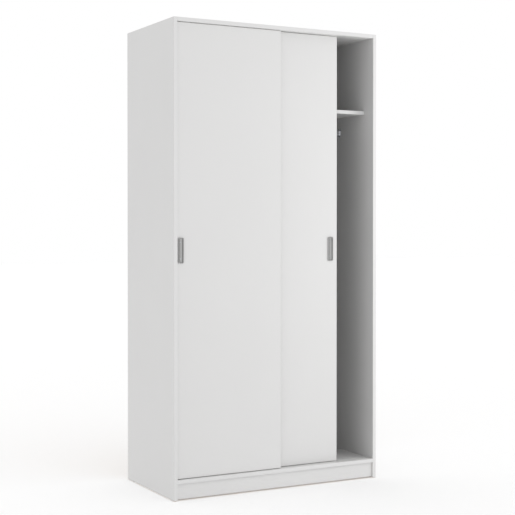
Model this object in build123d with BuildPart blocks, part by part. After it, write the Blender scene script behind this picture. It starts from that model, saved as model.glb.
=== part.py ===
from build123d import *
import os

# Sliding door wardrobe in white 16 mm board, two doors on a double track.
# X is the width, Y runs from front to back, Z is up. The origin is on the floor,
# in the middle of the footprint. All sizes are millimetres.

# ---- driving dimensions -------------------------------------------------------------
WIDTH = 1000
DEPTH = 500
HEIGHT = 2000
BOARD = 16
EDGE_ROUND = 0.6
GLIDE_HEIGHT = 2

BOTTOM_UNDERSIDE = 70.5
PLINTH_FLOOR_GAP = 6
PLINTH_SETBACK = 9
SHELF_UNDERSIDE = 1645
SHELF_FRONT = -176.5
BACK_THICKNESS = 3
BACK_INSET = 1
BACK_REBATE = 8

DOOR_WIDTH = 493
DOOR_BOTTOM = 90
DOOR_TOP = 1981
DOOR_ROUND = 0.8
FRONT_TRACK_Y = -234
REAR_TRACK_Y = -210
FRONT_DOOR_LEFT = -482.2
REAR_DOOR_LEFT = -182

RAIL_Y = 36
RAIL_Z = 1575

# ---- derived places -----------------------------------------------------------------
SIDE = WIDTH / 2
INNER = SIDE - BOARD
FRONT = -DEPTH / 2
REAR = DEPTH / 2
DECK = BOTTOM_UNDERSIDE + BOARD
CEILING = HEIGHT - BOARD
BACK_FACE = REAR - BACK_INSET - BACK_THICKNESS
PLINTH_FRONT_FACE = FRONT + PLINTH_SETBACK
PLINTH_REAR_FACE = REAR - PLINTH_SETBACK

# Turns that point a piece's own +Z along a direction of the wardrobe.
TO_FRONT = (90, 0, 0)
TO_REAR = (-90, 0, 0)
TO_RIGHT = (0, 90, 0)
TO_LEFT = (0, -90, 0)
UP = (0, 0, 0)
DOWN = (180, 0, 0)

STANDING = (Align.CENTER, Align.CENTER, Align.MIN)
HANGING = (Align.CENTER, Align.CENTER, Align.MAX)
CORNER = (Align.MIN, Align.MIN, Align.MIN)

os.makedirs("parts", exist_ok=True)


def save(piece, label):
    """Name a finished piece and write it as its own STEP file."""
    piece.part.label = label
    export_step(piece.part, f"parts/{label}.step")


def block(low, high, mode=Mode.ADD):
    """A box between two opposite corners."""
    size = [b - a for a, b in zip(low, high)]
    with Locations(low):
        Box(*size, align=CORNER, mode=mode)


def bores(places, turn, radius, depth):
    """Blind holes that start at each place and run along the turned -Z."""
    with Locations(*[Location(place, turn) for place in places]):
        Cylinder(radius, depth, align=HANGING, mode=Mode.SUBTRACT)


# ---- knock-down joints ----------------------------------------------------------------
# Every board that ends at a side panel is held by cam locks and dowels. Each joint is
# (height of the board's middle, cam positions in Y, dowel positions in Y).
CAM_RADIUS = 7.5
CAM_HEIGHT = 12.5
CAM_INSET = 24
BOLT_BORE = 4
BOLT_CHANNEL = 3.4
BOLT_THREAD = 2.45
BOLT_THREAD_LENGTH = 11
BOLT_COLLAR = 3.8
BOLT_COLLAR_HEIGHT = 3
BOLT_SHANK = 2.5
BOLT_SHANK_LENGTH = 17
BOLT_NECK = 1.8
BOLT_HEAD = 3.2
BOLT_HEAD_HEIGHT = 3.6
BOLT_HEAD_PAST_CAM = 0.6
DOWEL_RADIUS = 3.95
DOWEL_BORE = 4
DOWEL_IN_SIDE = 12
DOWEL_IN_BOARD = 18
BORE_SPARE = 0.5

TOP_MIDDLE = CEILING + BOARD / 2
BOTTOM_MIDDLE = BOTTOM_UNDERSIDE + BOARD / 2
SHELF_MIDDLE = SHELF_UNDERSIDE + BOARD / 2
FLAT_BOARDS = {
    "top": (TOP_MIDDLE, (-150, 150), (-110, 110)),
    "bottom": (BOTTOM_MIDDLE, (-150, 150), (-110, 110)),
    "shelf": (SHELF_MIDDLE, (-120, 190), (-80, 150)),
}
PLINTH_FRONT_MIDDLE = PLINTH_FRONT_FACE + BOARD / 2
PLINTH_REAR_MIDDLE = PLINTH_REAR_FACE - BOARD / 2
PLINTH_CAM_Z = 46
PLINTH_DOWEL_Z = 20
BRACE_DOWEL_Z = (22, 54)

# (y, z) of every bolt and of every dowel that enters a side panel
bolt_spots = [(y, z) for z, cams, dowels in FLAT_BOARDS.values() for y in cams]
bolt_spots += [(PLINTH_FRONT_MIDDLE, PLINTH_CAM_Z), (PLINTH_REAR_MIDDLE, PLINTH_CAM_Z)]
dowel_spots = [(y, z) for z, cams, dowels in FLAT_BOARDS.values() for y in dowels]
dowel_spots += [(PLINTH_FRONT_MIDDLE, PLINTH_DOWEL_Z), (PLINTH_REAR_MIDDLE, PLINTH_DOWEL_Z)]


def drill_board_end(side, cam_spots, dowel_places, cam_face_turn, cam_face_shift):
    """Bores in one end of a board: bolt bores, cam pockets on one face, and dowel bores."""
    turn = TO_RIGHT if side > 0 else TO_LEFT
    end = side * INNER
    bores([(end, y, z) for y, z in cam_spots], turn, BOLT_BORE, CAM_INSET)
    bores([(end, y, z) for y, z in dowel_places], turn, DOWEL_BORE, DOWEL_IN_BOARD + BORE_SPARE)
    shift_y, shift_z = cam_face_shift
    pockets = [(end - side * CAM_INSET, y + shift_y, z + shift_z) for y, z in cam_spots]
    bores(pockets, cam_face_turn, CAM_RADIUS + 0.1, CAM_HEIGHT + BORE_SPARE)


# ---- side panels ----------------------------------------------------------------------
def side_panel(label, side):
    """One upright panel, floor to top, with a rebate for the back along its rear edge."""
    inner_turn = TO_LEFT if side > 0 else TO_RIGHT
    low_x, high_x = sorted((side * INNER, side * SIDE))
    with BuildPart() as panel:
        block((low_x, FRONT, GLIDE_HEIGHT), (high_x, REAR, HEIGHT))
        outer = panel.faces().sort_by(Axis.X)[-1 if side > 0 else 0]
        fillet(outer.edges(), EDGE_ROUND)
        front_inner = panel.edges().filter_by(Axis.Z).group_by(Axis.Y)[0]
        fillet(front_inner.sort_by(Axis.X)[0 if side > 0 else -1], EDGE_ROUND)
        rebate_low, rebate_high = sorted((side * (INNER - 1), side * (INNER + BACK_REBATE)))
        block((rebate_low, BACK_FACE, BOTTOM_UNDERSIDE), (rebate_high, REAR + 1, HEIGHT + 1),
              mode=Mode.SUBTRACT)
        face = side * INNER
        bores([(face, y, z) for y, z in bolt_spots], inner_turn, BOLT_THREAD + 0.05,
              BOLT_THREAD_LENGTH + BORE_SPARE)
        bores([(face, y, z) for y, z in dowel_spots], inner_turn, DOWEL_BORE,
              DOWEL_IN_SIDE + BORE_SPARE)
    save(panel, label)


side_panel("side_panel_left", -1)
side_panel("side_panel_right", 1)

# ---- double track ----------------------------------------------------------------------
# A white plastic profile with two channels, let into grooves of the top and bottom panels.
TRACK_PLATE = 1
TRACK_FRONT = FRONT + 5
TRACK_REAR = -199
CHANNEL_WALL = 1.2
CHANNEL_FREE = 5
CHANNEL_DEPTH = 8.3
CHANNEL_FLOOR = 1.3
GROOVE_SPARE = 0.1
TRACK_MIDDLE = (FRONT_TRACK_Y + REAR_TRACK_Y) / 2
TRACK_SCREW_X = (-440, -220, 0, 220, 440)
TRACK_SCREW_HOLE = 1.6
TRACK_SCREW_SINK = 3
CHANNEL_HALF = CHANNEL_FREE / 2 + CHANNEL_WALL


def cut_track_grooves(board_face, into):
    """Two grooves along a board for the channels; into is +1 upwards or -1 downwards."""
    for y in (FRONT_TRACK_Y, REAR_TRACK_Y):
        half = CHANNEL_HALF + GROOVE_SPARE
        ends = sorted((board_face - into, board_face + into * (CHANNEL_DEPTH + GROOVE_SPARE)))
        block((-SIDE, y - half, ends[0]), (SIDE, y + half, ends[1]), mode=Mode.SUBTRACT)


def track(label, board_face, into):
    """The double profile: a thin plate on the board's face and two channels in the grooves."""
    with BuildPart() as profile:
        plate = sorted((board_face, board_face - into * TRACK_PLATE))
        block((-INNER, TRACK_FRONT, plate[0]), (INNER, TRACK_REAR, plate[1]))
        deep = sorted((board_face, board_face + into * CHANNEL_DEPTH))
        free = sorted((board_face - into * 2, board_face + into * (CHANNEL_DEPTH - CHANNEL_FLOOR)))
        for y in (FRONT_TRACK_Y, REAR_TRACK_Y):
            block((-INNER, y - CHANNEL_HALF, deep[0]), (INNER, y + CHANNEL_HALF, deep[1]))
            half = CHANNEL_FREE / 2
            block((-SIDE, y - half, free[0]), (SIDE, y + half, free[1]), mode=Mode.SUBTRACT)
        mouth = plate[0] if into > 0 else plate[1]
        lips = profile.edges().filter_by(Axis.X).filter_by_position(Axis.Z, mouth - 0.01, mouth + 0.01)
        fillet(lips, 0.4)
        heads = [Location((x, TRACK_MIDDLE, board_face - into * TRACK_PLATE), DOWN if into > 0 else UP)
                 for x in TRACK_SCREW_X]
        with Locations(*heads):
            Cylinder(TRACK_SCREW_HOLE, 4 * TRACK_PLATE, mode=Mode.SUBTRACT)
            Cone(TRACK_SCREW_SINK - 2 * TRACK_PLATE, TRACK_SCREW_SINK, 2 * TRACK_PLATE, align=HANGING,
                 mode=Mode.SUBTRACT)
    save(profile, label)


# ---- top, bottom and shelf ---------------------------------------------------------------
def flat_board(label, name, front, underside, groove):
    """A horizontal board between the side panels; groove is +1, -1 or 0 for no track."""
    middle, cams, dowels = FLAT_BOARDS[name]
    with BuildPart() as board:
        block((-INNER, front, underside), (INNER, BACK_FACE, underside + BOARD))
        front_edges = board.edges().filter_by(Axis.X).group_by(Axis.Y)[0]
        fillet(front_edges, EDGE_ROUND)
        if groove > 0:
            cut_track_grooves(underside, 1)
        if groove < 0:
            cut_track_grooves(underside + BOARD, -1)
        if name == "shelf":
            block((-7.7, BACK_FACE - 1.3, underside - 1), (7.7, BACK_FACE + 1, underside + BOARD + 1),
                  mode=Mode.SUBTRACT)
        for side in (-1, 1):
            drill_board_end(side, [(y, middle) for y in cams], [(y, middle) for y in dowels],
                            DOWN, (0, -BOARD / 2))
    save(board, label)


flat_board("top_panel", "top", FRONT, CEILING, 1)
flat_board("bottom_panel", "bottom", FRONT, BOTTOM_UNDERSIDE, -1)
flat_board("shelf", "shelf", SHELF_FRONT, SHELF_UNDERSIDE, 0)
track("top_track", CEILING, 1)
track("bottom_track", DECK, -1)

# ---- plinth ------------------------------------------------------------------------------
# Two boards under the bottom panel and a brace between them.
BRACE_HALF = BOARD / 2


def plinth(label, front, middle, inner_face, inner_turn):
    """One plinth board, with cams on the face that looks into the base."""
    with BuildPart() as board:
        block((-INNER, front, PLINTH_FLOOR_GAP), (INNER, front + BOARD, BOTTOM_UNDERSIDE))
        for side in (-1, 1):
            drill_board_end(side, [(middle, PLINTH_CAM_Z)], [(middle, PLINTH_DOWEL_Z)],
                            inner_turn, (inner_face - middle, 0))
        bores([(0, inner_face, z) for z in BRACE_DOWEL_Z], inner_turn, DOWEL_BORE,
              DOWEL_IN_SIDE + BORE_SPARE)
    save(board, label)


plinth("plinth_front", PLINTH_FRONT_FACE, PLINTH_FRONT_MIDDLE, PLINTH_FRONT_FACE + BOARD, TO_REAR)
plinth("plinth_rear", PLINTH_REAR_FACE - BOARD, PLINTH_REAR_MIDDLE, PLINTH_REAR_FACE - BOARD, TO_FRONT)

BRACE_FRONT = PLINTH_FRONT_FACE + BOARD
BRACE_REAR = PLINTH_REAR_FACE - BOARD
with BuildPart() as plinth_brace:
    block((-BRACE_HALF, BRACE_FRONT, PLINTH_FLOOR_GAP), (BRACE_HALF, BRACE_REAR, BOTTOM_UNDERSIDE))
    for end, turn in ((BRACE_FRONT, TO_FRONT), (BRACE_REAR, TO_REAR)):
        bores([(0, end, z) for z in BRACE_DOWEL_Z], turn, DOWEL_BORE, DOWEL_IN_BOARD + BORE_SPARE)
save(plinth_brace, "plinth_brace")

# ---- cams, bolts, dowels and caps ----------------------------------------------------------
CROSS_LENGTH = 7
CROSS_WIDTH = 1.6
CROSS_DEPTH = 3.5
CAP_RADIUS = 8.6
CAP_HEIGHT = 1
CAP_PLUG = 0.7
CAP_PLUG_LENGTH = 2.5

# One cam: a zinc barrel, face up at the origin, with a channel for the bolt towards +X.
with BuildPart() as cam:
    Cylinder(CAM_RADIUS, CAM_HEIGHT, align=HANGING)
    with Locations(Location((-3, 0, -BOARD / 2), TO_RIGHT)):
        Cylinder(BOLT_CHANNEL, CAM_INSET, align=STANDING, mode=Mode.SUBTRACT)
    Box(CROSS_LENGTH, CROSS_WIDTH, CROSS_DEPTH, align=HANGING, mode=Mode.SUBTRACT)
    Box(CROSS_WIDTH, CROSS_LENGTH, CROSS_DEPTH, align=HANGING, mode=Mode.SUBTRACT)

# One bolt: thread along +Z from the origin, collar, shank, neck and round head along -Z.
with BuildPart() as bolt:
    Cylinder(BOLT_THREAD, BOLT_THREAD_LENGTH, align=STANDING)
    Cylinder(BOLT_COLLAR, BOLT_COLLAR_HEIGHT, align=HANGING)
    Cylinder(BOLT_SHANK, BOLT_SHANK_LENGTH, align=HANGING)
    Cylinder(BOLT_NECK, CAM_INSET, align=HANGING)
    with Locations((0, 0, BOLT_HEAD_HEIGHT - CAM_INSET - BOLT_HEAD_PAST_CAM)):
        Cylinder(BOLT_HEAD, BOLT_HEAD_HEIGHT, align=HANGING)
    fillet(bolt.edges().group_by(Axis.Z)[0], 1)

# One dowel, along Z about the origin, its two ends chamfered.
with BuildPart() as dowel:
    Cylinder(DOWEL_RADIUS, DOWEL_IN_SIDE + DOWEL_IN_BOARD, align=STANDING)
    chamfer(dowel.edges().filter_by(GeomType.CIRCLE), 0.8)

# One cover cap: a thin disc, face up at the origin, with a plug that enters the cam's cross.
with BuildPart() as cap:
    Cylinder(CAP_RADIUS, CAP_HEIGHT, align=STANDING)
    chamfer(cap.edges().group_by(Axis.Z)[-1], CAP_HEIGHT / 2)
    Cylinder(CAP_PLUG, CAP_PLUG_LENGTH, align=HANGING)


def cam_place(side, y, z, turn, spin):
    """A cam under a board or on a plinth's inner face, its channel towards the side panel."""
    return Location((side * (INNER - CAM_INSET), y, z), turn) * Location((0, 0, 0), (0, 0, spin))


flat_cams = []
visible_cams = []
for name, (middle, cams, dowels) in FLAT_BOARDS.items():
    for side in (-1, 1):
        spots = [cam_place(side, y, middle - BOARD / 2, DOWN, 0 if side > 0 else 180) for y in cams]
        flat_cams += spots
        if name != "bottom":
            visible_cams += spots
plinth_cams = []
for side in (-1, 1):
    spin = 0 if side > 0 else 180
    plinth_cams.append(cam_place(side, BRACE_FRONT, PLINTH_CAM_Z, TO_REAR, spin))
    plinth_cams.append(cam_place(side, BRACE_REAR, PLINTH_CAM_Z, TO_FRONT, spin))

with BuildPart() as cam_locks:
    with Locations(*flat_cams, *plinth_cams):
        add(cam.part)
save(cam_locks, "cam_locks")

with BuildPart() as cam_cover_caps:
    with Locations(*visible_cams):
        add(cap.part)
save(cam_cover_caps, "cam_cover_caps")

bolt_places = [Location((-INNER, y, z), TO_LEFT) for y, z in bolt_spots]
bolt_places += [Location((INNER, y, z), TO_RIGHT) for y, z in bolt_spots]
with BuildPart() as cam_bolts:
    with Locations(*bolt_places):
        add(bolt.part)
save(cam_bolts, "cam_bolts")

dowel_places = [Location((-INNER - DOWEL_IN_SIDE, y, z), TO_RIGHT) for y, z in dowel_spots]
dowel_places += [Location((INNER + DOWEL_IN_SIDE, y, z), TO_LEFT) for y, z in dowel_spots]
dowel_places += [Location((0, BRACE_FRONT - DOWEL_IN_SIDE, z), TO_REAR) for z in BRACE_DOWEL_Z]
dowel_places += [Location((0, BRACE_REAR + DOWEL_IN_SIDE, z), TO_FRONT) for z in BRACE_DOWEL_Z]
with BuildPart() as wood_dowels:
    with Locations(*dowel_places):
        add(dowel.part)
save(wood_dowels, "wood_dowels")

# ---- back ---------------------------------------------------------------------------------
# Two sheets of 3 mm hardboard, joined by an H strip and nailed into the rebates.
SHEET_SIDE = INNER + BACK_REBATE - 0.5
SHEET_GAP = 0.8
SHEET_BOTTOM = BOTTOM_UNDERSIDE + 0.5
SHEET_TOP = HEIGHT - 1
STRIP_HALF = 7
STRIP_WEB = 0.6
WALL_HOLE_X = 350
WALL_HOLE_Z = 1955
WALL_HOLE_RADIUS = 5


def back_sheet(label, side):
    """One half of the back, with the hole for the wall screw."""
    low_x, high_x = sorted((side * SHEET_GAP, side * SHEET_SIDE))
    with BuildPart() as sheet:
        block((low_x, BACK_FACE, SHEET_BOTTOM), (high_x, BACK_FACE + BACK_THICKNESS, SHEET_TOP))
        with Locations(Location((side * WALL_HOLE_X, BACK_FACE, WALL_HOLE_Z), TO_FRONT)):
            Cylinder(WALL_HOLE_RADIUS, 2 * BACK_THICKNESS + 2, mode=Mode.SUBTRACT)
    save(sheet, label)


back_sheet("back_sheet_left", -1)
back_sheet("back_sheet_right", 1)

STRIP_LOW = DECK + 0.5
STRIP_HIGH = CEILING - 1.5
with BuildPart() as back_joint_strip:
    block((-STRIP_HALF, BACK_FACE - 1, STRIP_LOW), (STRIP_HALF, BACK_FACE, STRIP_HIGH))
    block((-STRIP_HALF, REAR - 1, STRIP_LOW), (STRIP_HALF, REAR, STRIP_HIGH))
    block((-STRIP_WEB, BACK_FACE, STRIP_LOW), (STRIP_WEB, REAR - 1, STRIP_HIGH))
save(back_joint_strip, "back_joint_strip")

NAIL_RADIUS = 0.7
NAIL_LENGTH = 16
NAIL_HEAD = 2
NAIL_HEAD_HEIGHT = 0.7
NAIL_EDGE = INNER + BACK_REBATE / 2
NAIL_ROWS = 10
NAIL_FIRST_Z = 110
NAIL_STEP_Z = 203
NAIL_X = (-420, -300, -180, -60, 60, 180, 300, 420)
nail_spots = [(side * NAIL_EDGE, NAIL_FIRST_Z + NAIL_STEP_Z * row)
              for side in (-1, 1) for row in range(NAIL_ROWS)]
nail_spots += [(x, z) for z in (BOTTOM_MIDDLE, TOP_MIDDLE) for x in NAIL_X]
nail_spots += [(x, SHELF_MIDDLE) for x in NAIL_X[::2]]

# One nail, pointing along -Z, with its flat head on the sheet.
with BuildPart() as nail:
    Cylinder(NAIL_RADIUS, NAIL_LENGTH, align=HANGING)
    Cylinder(NAIL_HEAD, NAIL_HEAD_HEIGHT, align=STANDING)
    chamfer(nail.edges().group_by(Axis.Z)[-1], 0.2)

with BuildPart() as back_nails:
    with Locations(*[Location((x, BACK_FACE + BACK_THICKNESS, z), TO_REAR) for x, z in nail_spots]):
        add(nail.part)
save(back_nails, "back_nails")

# ---- floor glides ---------------------------------------------------------------------------
GLIDE_RADIUS = 7
GLIDE_Y = 220
with BuildPart() as floor_glides:
    with Locations(*[(side * (SIDE - BOARD / 2), y, 0) for side in (-1, 1) for y in (-GLIDE_Y, GLIDE_Y)]):
        Cylinder(GLIDE_RADIUS, GLIDE_HEIGHT, align=STANDING)
    chamfer(floor_glides.edges().group_by(Axis.Z)[0], 0.6)
    with Locations(*[(side * (SIDE - BOARD / 2), y, 0.5) for side in (-1, 1) for y in (-GLIDE_Y, GLIDE_Y)]):
        Cylinder(0.9, 11, align=STANDING)
save(floor_glides, "floor_glides")


# ---- screws ----------------------------------------------------------------------------------
RECESS_WIDTH = 0.7
RECESS_DEPTH = 1


def screw(shank_radius, head_radius, length):
    """A countersunk screw with a cross recess, its head flush at the origin, pointing along -Z."""
    with BuildPart() as body:
        Cylinder(shank_radius, length, align=HANGING)
        Cone(shank_radius, head_radius, head_radius - shank_radius, align=HANGING)
        Box(head_radius, RECESS_WIDTH, RECESS_DEPTH, align=HANGING, mode=Mode.SUBTRACT)
        Box(RECESS_WIDTH, head_radius, RECESS_DEPTH, align=HANGING, mode=Mode.SUBTRACT)
        tip = body.edges().group_by(Axis.Z)[0]
        chamfer(tip, shank_radius * 0.6)
    return body.part


def screws(label, one_screw, places):
    """A set of like screws, kept together as one group."""
    with BuildPart() as group:
        with Locations(*places):
            add(one_screw)
    save(group, label)


track_screw = screw(1.4, 2.6, 8)
track_screw_places = [Location((x, TRACK_MIDDLE, CEILING - TRACK_PLATE), DOWN) for x in TRACK_SCREW_X]
track_screw_places += [Location((x, TRACK_MIDDLE, DECK + TRACK_PLATE), UP) for x in TRACK_SCREW_X]
screws("track_screws", track_screw, track_screw_places)

# ---- clothes rail -------------------------------------------------------------------------------
# An oval tube between two flanged sockets.
RAIL_WIDE = 15
RAIL_TALL = 30
RAIL_WALL = 1.2
SOCKET_PLATE = 3
SOCKET_DEPTH = 14
SOCKET_WALL = 2.2
SOCKET_SPARE = 0.15
FLANGE_WIDE = 35
FLANGE_TALL = 40
SOCKET_SCREW_Y = 13.6
SOCKET_SCREW_HOLE = 1.9
SOCKET_SCREW_SINK = 3.1

rail_section = Plane(origin=(-INNER + SOCKET_PLATE, RAIL_Y, RAIL_Z), x_dir=(0, 0, 1), z_dir=(1, 0, 0))
with BuildPart() as clothes_rail:
    with BuildSketch(rail_section):
        SlotOverall(RAIL_TALL, RAIL_WIDE)
        SlotOverall(RAIL_TALL - 2 * RAIL_WALL, RAIL_WIDE - 2 * RAIL_WALL, mode=Mode.SUBTRACT)
    extrude(amount=2 * (INNER - SOCKET_PLATE))
save(clothes_rail, "clothes_rail")


def rail_bracket(label, side):
    """A flange on the side panel with a socket around the end of the rail."""
    face = Plane(origin=(side * INNER, RAIL_Y, RAIL_Z), x_dir=(0, 0, 1), z_dir=(-side, 0, 0))
    free_tall = RAIL_TALL + 2 * SOCKET_SPARE
    free_wide = RAIL_WIDE + 2 * SOCKET_SPARE
    with BuildPart() as bracket:
        with BuildSketch(face):
            RectangleRounded(FLANGE_TALL, FLANGE_WIDE, 12)
        extrude(amount=SOCKET_PLATE)
        with BuildSketch(face):
            SlotOverall(free_tall + 2 * SOCKET_WALL, free_wide + 2 * SOCKET_WALL)
        extrude(amount=SOCKET_DEPTH)
        with BuildSketch(face.offset(SOCKET_PLATE)):
            SlotOverall(free_tall, free_wide)
        extrude(amount=SOCKET_DEPTH, mode=Mode.SUBTRACT)
        inward = Axis.X if side < 0 else -Axis.X
        fillet(bracket.edges().group_by(inward)[-1], 0.6)
        holes = [Location((side * INNER, RAIL_Y + way * SOCKET_SCREW_Y, RAIL_Z), TO_RIGHT)
                 for way in (-1, 1)]
        with Locations(*holes):
            Cylinder(SOCKET_SCREW_HOLE, 2 * SOCKET_PLATE + 2, mode=Mode.SUBTRACT)
        outer_turn = TO_LEFT if side > 0 else TO_RIGHT
        sinks = [Location((side * (INNER - SOCKET_PLATE), RAIL_Y + way * SOCKET_SCREW_Y, RAIL_Z), outer_turn)
                 for way in (-1, 1)]
        with Locations(*sinks):
            Cone(SOCKET_SCREW_HOLE, SOCKET_SCREW_SINK, SOCKET_SCREW_SINK - SOCKET_SCREW_HOLE, align=HANGING,
                 mode=Mode.SUBTRACT)
    save(bracket, label)


rail_bracket("rail_bracket_left", -1)
rail_bracket("rail_bracket_right", 1)

rail_screw = screw(1.7, 2.7, 14)
rail_screw_places = [Location((side * (INNER - SOCKET_PLATE), RAIL_Y + way * SOCKET_SCREW_Y, RAIL_Z), turn)
                     for side, turn in ((-1, TO_RIGHT), (1, TO_LEFT)) for way in (-1, 1)]
screws("rail_bracket_screws", rail_screw, rail_screw_places)

# ---- wall brackets --------------------------------------------------------------------------------
BRACKET_SHEET = 2
BRACKET_WIDE = 30
BRACKET_DROP = 46
BRACKET_REACH = 44
WALL_SCREW_RADIUS = 3.5
BRACKET_SCREW_Y = (BACK_FACE - 16, BACK_FACE - 34)
BRACKET_SCREW_SHANK = 2
BRACKET_SCREW_HOLE = 2.4
BRACKET_SCREW_HEAD = 3.6


def wall_bracket(label, side):
    """A steel angle under the top panel whose upright leg takes the screw into the wall."""
    low_x = side * WALL_HOLE_X - BRACKET_WIDE / 2
    high_x = low_x + BRACKET_WIDE
    with BuildPart() as bracket:
        block((low_x, BACK_FACE - BRACKET_REACH, CEILING - BRACKET_SHEET), (high_x, BACK_FACE, CEILING))
        block((low_x, BACK_FACE - BRACKET_SHEET, CEILING - BRACKET_DROP), (high_x, BACK_FACE, CEILING))
        bend = bracket.edges().filter_by(Axis.X).sort_by_distance((side * WALL_HOLE_X, BACK_FACE, CEILING))
        fillet(bend[1], BRACKET_SHEET)
        with Locations(Location((side * WALL_HOLE_X, BACK_FACE, WALL_HOLE_Z), TO_FRONT)):
            Cylinder(WALL_SCREW_RADIUS, 3 * BRACKET_SHEET, mode=Mode.SUBTRACT)
        with Locations(*[(side * WALL_HOLE_X, y, CEILING) for y in BRACKET_SCREW_Y]):
            Cylinder(BRACKET_SCREW_HOLE, 3 * BRACKET_SHEET, mode=Mode.SUBTRACT)
    save(bracket, label)


wall_bracket("wall_bracket_left", -1)
wall_bracket("wall_bracket_right", 1)

bracket_screw = screw(BRACKET_SCREW_SHANK, BRACKET_SCREW_HEAD, 14)
head_below_sheet = BRACKET_SCREW_HEAD - BRACKET_SCREW_HOLE
bracket_screw_places = [Location((side * WALL_HOLE_X, y, CEILING - BRACKET_SHEET - head_below_sheet), DOWN)
                        for side in (-1, 1) for y in BRACKET_SCREW_Y]
screws("wall_bracket_screws", bracket_screw, bracket_screw_places)

# ---- doors ------------------------------------------------------------------------------------------
# Each door is a plain board. Two rollers are let into its lower edge, two sprung guides
# into its upper edge, and a pull with a half-round hollow into its face.
FITTING_INSET = 50
FLANGE_LENGTH = 66
FLANGE_WIDTH = 10
FLANGE_SHEET = 2
BODY_LENGTH = 38
BODY_WIDTH = 9
FIT = 0.1
FITTING_SCREW_X = 26
FITTING_SCREW_HOLE = 1.6
FITTING_SCREW_SINK = 2.8
SINK_DEPTH = FITTING_SCREW_SINK - FITTING_SCREW_HOLE

WHEEL_RADIUS = 14
WHEEL_WIDTH = 4
WHEEL_GAP = 0.3
WHEEL_CLEAR = 1.5
WHEEL_WEB = 2
WHEEL_RIM = 3
WHEEL_HOLES = 5
WHEEL_HOLE_RADIUS = 1.9
WHEEL_HOLE_CIRCLE = 7.2
WHEEL_BORE = 1.55
WHEEL_HUB = 3.4
AXLE_RADIUS = 1.5
AXLE_SEAT = 1.52
AXLE_HALF = 4.3
WHEEL_Z = DECK - CHANNEL_DEPTH + CHANNEL_FLOOR + WHEEL_GAP + WHEEL_RADIUS
ROLLER_LUG = 89.2
ROLLER_TOP = WHEEL_Z + WHEEL_RADIUS + 4

TONGUE_TOP = 1989
TONGUE_TRAVEL = 7
TONGUE_LENGTH = 20
TONGUE_FOOT = 26
TONGUE_FOOT_HEIGHT = 3
TONGUE_HEIGHT = 28
TONGUE_WIDTH = 4
TONGUE_CLEAR = 0.3
TONGUE_ROUND = 1.2
GUIDE_BOTTOM = 1950
GUIDE_FLOOR = TONGUE_TOP - TONGUE_HEIGHT - TONGUE_TRAVEL - 1

HANDLE_Z = 1037
HANDLE_WIDE = 25
HANDLE_TALL = 106
HANDLE_CORNER = 4
RIM_PROUD = 6.5
RIM_ROUND = 2.5
MOUTH_ROUND = 0.6
CUP_WIDE = 20
CUP_TALL = 102
CUP_CORNER = 3
CUP_DEPTH = 4
DISH_RADIUS = 8.8
DISH_LENGTH = 99.5
DISH_ROUND = 3
HANDLE_SCREW_Z = 34


def door_panel(label, left, track_y, handle_x):
    """The door board, mortised for its rollers and guides and pocketed for its pull."""
    face = track_y - BOARD / 2
    fittings = (left + FITTING_INSET, left + DOOR_WIDTH - FITTING_INSET)
    flange = (FLANGE_LENGTH / 2 + FIT, FLANGE_WIDTH / 2 + FIT)
    body = (BODY_LENGTH / 2 + FIT, BODY_WIDTH / 2 + FIT)
    with BuildPart() as door:
        block((left, face, DOOR_BOTTOM), (left + DOOR_WIDTH, face + BOARD, DOOR_TOP))
        fillet(door.edges(), DOOR_ROUND)
        for x in fittings:
            for (half_x, half_y), rise, drop in ((flange, FLANGE_SHEET, FLANGE_SHEET),
                                                 (body, ROLLER_TOP - DOOR_BOTTOM + FIT,
                                                  DOOR_TOP - GUIDE_BOTTOM + FIT)):
                block((x - half_x, track_y - half_y, DOOR_BOTTOM - 1),
                      (x + half_x, track_y + half_y, DOOR_BOTTOM + rise), mode=Mode.SUBTRACT)
                block((x - half_x, track_y - half_y, DOOR_TOP - drop),
                      (x + half_x, track_y + half_y, DOOR_TOP + 1), mode=Mode.SUBTRACT)
        pocket = Plane(origin=(handle_x, face - 1, HANDLE_Z), x_dir=(1, 0, 0), z_dir=(0, 1, 0))
        with BuildSketch(pocket):
            RectangleRounded(CUP_WIDE + 2 * FIT, CUP_TALL + 2 * FIT, CUP_CORNER)
        extrude(amount=CUP_DEPTH + 1, mode=Mode.SUBTRACT)
    save(door, label)


# The hollow of a pull: an upright bar whose ends are rounded over.
with BuildPart() as dish:
    Cylinder(DISH_RADIUS, DISH_LENGTH)
    fillet(dish.edges().filter_by(GeomType.CIRCLE), DISH_ROUND)


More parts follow.
